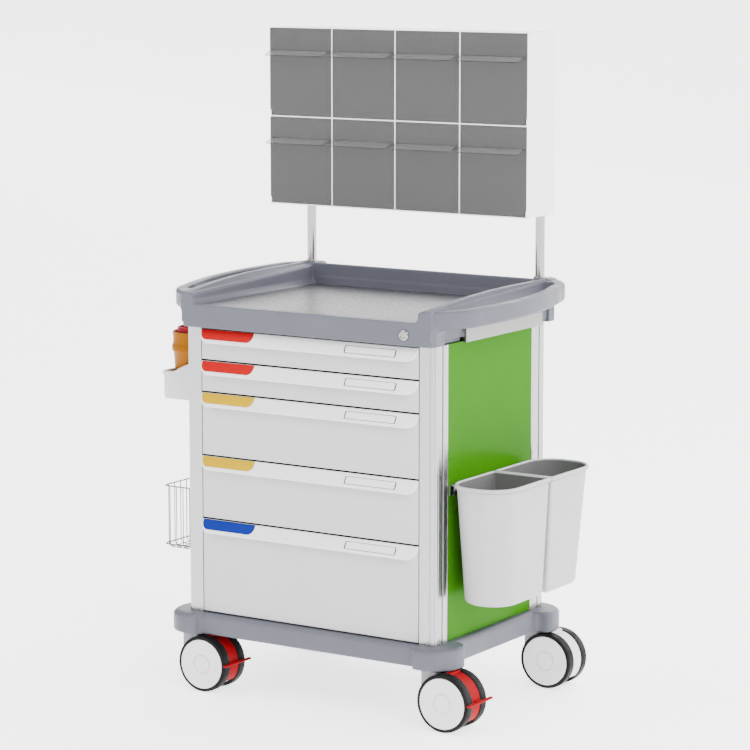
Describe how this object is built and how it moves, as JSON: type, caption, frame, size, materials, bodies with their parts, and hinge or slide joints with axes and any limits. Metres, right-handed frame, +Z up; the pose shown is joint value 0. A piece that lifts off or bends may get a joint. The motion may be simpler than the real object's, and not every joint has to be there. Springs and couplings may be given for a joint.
{
  "type": "anaesthesia treatment trolley",
  "caption": "Hospital treatment trolley on twin-wheel casters with drawers, a worktop with push handles, a rack of tilting bins, waste bins, a sharps jar and a wire basket.",
  "frame": {"origin": "on the floor, under the middle of the whole trolley's box, side accessories and rear handle ends included", "axes": "+Z up, drawers face -Y, +X towards the side shelf and waste bins"},
  "size_m": [0.9164, 0.544, 1.4467],
  "materials": {
    "grey_shell": "moulded, fine satin grain",
    "white_front": "moulded, smooth satin gloss",
    "green_panel": "high gloss green lacquer",
    "white_panel": "white powder coat",
    "satin_aluminium": "anodised, satin",
    "sheet_steel": "zinc plated sheet",
    "drawer_steel": "light grey powder coat",
    "tray_steel": "stainless, fine speckled finish",
    "polished_steel": "polished stainless tube",
    "white_rack": "moulded, gloss",
    "smoke_bin": "clear smoke grey, gloss",
    "bin_grey": "moulded, satin",
    "orange_jar": "moulded, satin gloss",
    "red_lid": "dark red, moulded",
    "basket_wire": "chromed wire",
    "caster_grey": "moulded, satin",
    "caster_white": "moulded, satin gloss",
    "wheel": "black tread with white side discs",
    "brake_red": "moulded, gloss",
    "lock_steel": "polished",
    "tab_red": "moulded, gloss",
    "tab_yellow": "moulded, gloss",
    "tab_blue": "moulded, gloss"
  },
  "bodies": {
    "cabinet": {"base_plinth": "grey_shell", "front_column_left": "satin_aluminium", "front_column_right": "satin_aluminium", "rear_column_left": "satin_aluminium", "rear_column_right": "satin_aluminium", "side_panel_left": "green_panel", "side_panel_right": "green_panel", "rear_panel": "white_panel", "runner_frame_left": "sheet_steel", "runner_frame_right": "sheet_steel", "worktop": "grey_shell", "deck_sheet": "tray_steel", "lock_body": "lock_steel", "rack_post_left": "polished_steel", "rack_post_right": "polished_steel", "rack_housing": "white_rack", "rack_back": "white_rack", "waste_bin_bracket": "satin_aluminium", "sharps_holder": "bin_grey", "wire_basket": "basket_wire"},
    "drawer_1": {"drawer_1_front": "white_front", "drawer_1_box": "drawer_steel", "drawer_1_tab": "tab_red"},
    "drawer_2": {"drawer_2_front": "white_front", "drawer_2_box": "drawer_steel", "drawer_2_tab": "tab_red"},
    "drawer_3": {"drawer_3_front": "white_front", "drawer_3_box": "drawer_steel", "drawer_3_tab": "tab_yellow"},
    "drawer_4": {"drawer_4_front": "white_front", "drawer_4_box": "drawer_steel", "drawer_4_tab": "tab_yellow"},
    "drawer_5": {"drawer_5_front": "white_front", "drawer_5_box": "drawer_steel", "drawer_5_tab": "tab_blue"},
    "key": {"key_barrel": "lock_steel"},
    "lock_bar": {"lock_bar": "sheet_steel"},
    "side_shelf": {"side_shelf": "satin_aluminium"},
    "tilt_bin_1": {"tilt_bin_1": "smoke_bin"},
    "tilt_bin_2": {"tilt_bin_2": "smoke_bin"},
    "tilt_bin_3": {"tilt_bin_3": "smoke_bin"},
    "tilt_bin_4": {"tilt_bin_4": "smoke_bin"},
    "tilt_bin_5": {"tilt_bin_5": "smoke_bin"},
    "tilt_bin_6": {"tilt_bin_6": "smoke_bin"},
    "tilt_bin_7": {"tilt_bin_7": "smoke_bin"},
    "tilt_bin_8": {"tilt_bin_8": "smoke_bin"},
    "waste_bin_front": {"waste_bin_front": "bin_grey"},
    "waste_bin_rear": {"waste_bin_rear": "bin_grey"},
    "sharps_container": {"sharps_container": "orange_jar"},
    "sharps_lid": {"sharps_lid": "red_lid"},
    "caster_front_left_swivel": {"caster_front_left_fork": "caster_grey"},
    "caster_front_left_wheels": {"caster_front_left_wheels": "wheel"},
    "caster_front_left_pedal": {"caster_front_left_pedal": "brake_red"},
    "caster_front_right_swivel": {"caster_front_right_fork": "caster_grey"},
    "caster_front_right_wheels": {"caster_front_right_wheels": "wheel"},
    "caster_front_right_pedal": {"caster_front_right_pedal": "brake_red"},
    "caster_rear_left_swivel": {"caster_rear_left_fork": "caster_white"},
    "caster_rear_left_wheels": {"caster_rear_left_wheels": "wheel"},
    "caster_rear_right_swivel": {"caster_rear_right_fork": "caster_white"},
    "caster_rear_right_wheels": {"caster_rear_right_wheels": "wheel"}
  },
  "joints": [
    {"name": "drawer_1_slide", "type": "slide", "parent": "cabinet", "child": "drawer_1", "axis": [0, -1, 0], "range_m": [0, 0.33]},
    {"name": "drawer_2_slide", "type": "slide", "parent": "cabinet", "child": "drawer_2", "axis": [0, -1, 0], "range_m": [0, 0.33]},
    {"name": "drawer_3_slide", "type": "slide", "parent": "cabinet", "child": "drawer_3", "axis": [0, -1, 0], "range_m": [0, 0.33]},
    {"name": "drawer_4_slide", "type": "slide", "parent": "cabinet", "child": "drawer_4", "axis": [0, -1, 0], "range_m": [0, 0.33]},
    {"name": "drawer_5_slide", "type": "slide", "parent": "cabinet", "child": "drawer_5", "axis": [0, -1, 0], "range_m": [0, 0.33]},
    {"name": "key_turn", "type": "hinge", "parent": "cabinet", "child": "key", "pos_m": [0.23575, -0.234, 0.8338], "axis": [0, -1, 0], "range_deg": [0, 90]},
    {"name": "lock_bar_slide", "type": "slide", "parent": "cabinet", "child": "lock_bar", "axis": [0, 0, 1], "range_m": [0, 0.01]},
    {"name": "side_shelf_slide", "type": "slide", "parent": "cabinet", "child": "side_shelf", "axis": [1, 0, 0], "range_m": [0, 0.26]},
    {"name": "tilt_bin_1_hinge", "type": "hinge", "parent": "cabinet", "child": "tilt_bin_1", "pos_m": [-0.26796, 0.11195, 1.2545], "axis": [1, 0, 0], "range_deg": [0, 45]},
    {"name": "tilt_bin_2_hinge", "type": "hinge", "parent": "cabinet", "child": "tilt_bin_2", "pos_m": [-0.10149, 0.11195, 1.2545], "axis": [1, 0, 0], "range_deg": [0, 45]},
    {"name": "tilt_bin_3_hinge", "type": "hinge", "parent": "cabinet", "child": "tilt_bin_3", "pos_m": [0.06499, 0.11195, 1.2545], "axis": [1, 0, 0], "range_deg": [0, 45]},
    {"name": "tilt_bin_4_hinge", "type": "hinge", "parent": "cabinet", "child": "tilt_bin_4", "pos_m": [0.23146, 0.11195, 1.2545], "axis": [1, 0, 0], "range_deg": [0, 45]},
    {"name": "tilt_bin_5_hinge", "type": "hinge", "parent": "cabinet", "child": "tilt_bin_5", "pos_m": [-0.26796, 0.11195, 1.0573], "axis": [1, 0, 0], "range_deg": [0, 45]},
    {"name": "tilt_bin_6_hinge", "type": "hinge", "parent": "cabinet", "child": "tilt_bin_6", "pos_m": [-0.10149, 0.11195, 1.0573], "axis": [1, 0, 0], "range_deg": [0, 45]},
    {"name": "tilt_bin_7_hinge", "type": "hinge", "parent": "cabinet", "child": "tilt_bin_7", "pos_m": [0.06499, 0.11195, 1.0573], "axis": [1, 0, 0], "range_deg": [0, 45]},
    {"name": "tilt_bin_8_hinge", "type": "hinge", "parent": "cabinet", "child": "tilt_bin_8", "pos_m": [0.23146, 0.11195, 1.0573], "axis": [1, 0, 0], "range_deg": [0, 45]},
    {"name": "waste_bin_front_lift", "type": "slide", "parent": "cabinet", "child": "waste_bin_front", "axis": [0, 0, 1], "range_m": [0, 0.12]},
    {"name": "waste_bin_rear_lift", "type": "slide", "parent": "cabinet", "child": "waste_bin_rear", "axis": [0, 0, 1], "range_m": [0, 0.12]},
    {"name": "sharps_container_lift", "type": "slide", "parent": "cabinet", "child": "sharps_container", "axis": [0, 0, 1], "range_m": [0, 0.055]},
    {"name": "sharps_lid_turn", "type": "hinge", "parent": "sharps_container", "child": "sharps_lid", "pos_m": [-0.40325, -0.11, 0.7736], "axis": [0, 0, 1], "range_deg": [0, 90]},
    {"name": "caster_front_left_swivel", "type": "hinge", "parent": "cabinet", "child": "caster_front_left_swivel", "pos_m": [-0.32925, -0.222, 0.0625], "axis": [0, 0, 1], "continuous": true},
    {"name": "caster_front_left_roll", "type": "hinge", "parent": "caster_front_left_swivel", "child": "caster_front_left_wheels", "pos_m": [-0.28525, -0.222, 0.0625], "axis": [0, 1, 0], "continuous": true},
    {"name": "caster_front_left_pedal", "type": "hinge", "parent": "caster_front_left_swivel", "child": "caster_front_left_pedal", "pos_m": [-0.28525, -0.222, 0.0625], "axis": [0, 1, 0], "range_deg": [0, 12]},
    {"name": "caster_front_right_swivel", "type": "hinge", "parent": "cabinet", "child": "caster_front_right_swivel", "pos_m": [0.29275, -0.222, 0.0625], "axis": [0, 0, 1], "continuous": true},
    {"name": "caster_front_right_roll", "type": "hinge", "parent": "caster_front_right_swivel", "child": "caster_front_right_wheels", "pos_m": [0.33675, -0.222, 0.0625], "axis": [0, 1, 0], "continuous": true},
    {"name": "caster_front_right_pedal", "type": "hinge", "parent": "caster_front_right_swivel", "child": "caster_front_right_pedal", "pos_m": [0.33675, -0.222, 0.0625], "axis": [0, 1, 0], "range_deg": [0, 12]},
    {"name": "caster_rear_left_swivel", "type": "hinge", "parent": "cabinet", "child": "caster_rear_left_swivel", "pos_m": [-0.32925, 0.214, 0.0625], "axis": [0, 0, 1], "continuous": true},
    {"name": "caster_rear_left_roll", "type": "hinge", "parent": "caster_rear_left_swivel", "child": "caster_rear_left_wheels", "pos_m": [-0.28525, 0.214, 0.0625], "axis": [0, 1, 0], "continuous": true},
    {"name": "caster_rear_right_swivel", "type": "hinge", "parent": "cabinet", "child": "caster_rear_right_swivel", "pos_m": [0.29275, 0.214, 0.0625], "axis": [0, 0, 1], "continuous": true},
    {"name": "caster_rear_right_roll", "type": "hinge", "parent": "caster_rear_right_swivel", "child": "caster_rear_right_wheels", "pos_m": [0.33675, 0.214, 0.0625], "axis": [0, 1, 0], "continuous": true}
  ],
  "couplings": [
    {"joint": "key_turn", "follows": "lock_bar_slide", "rad_per_m": 157.08}
  ]
}
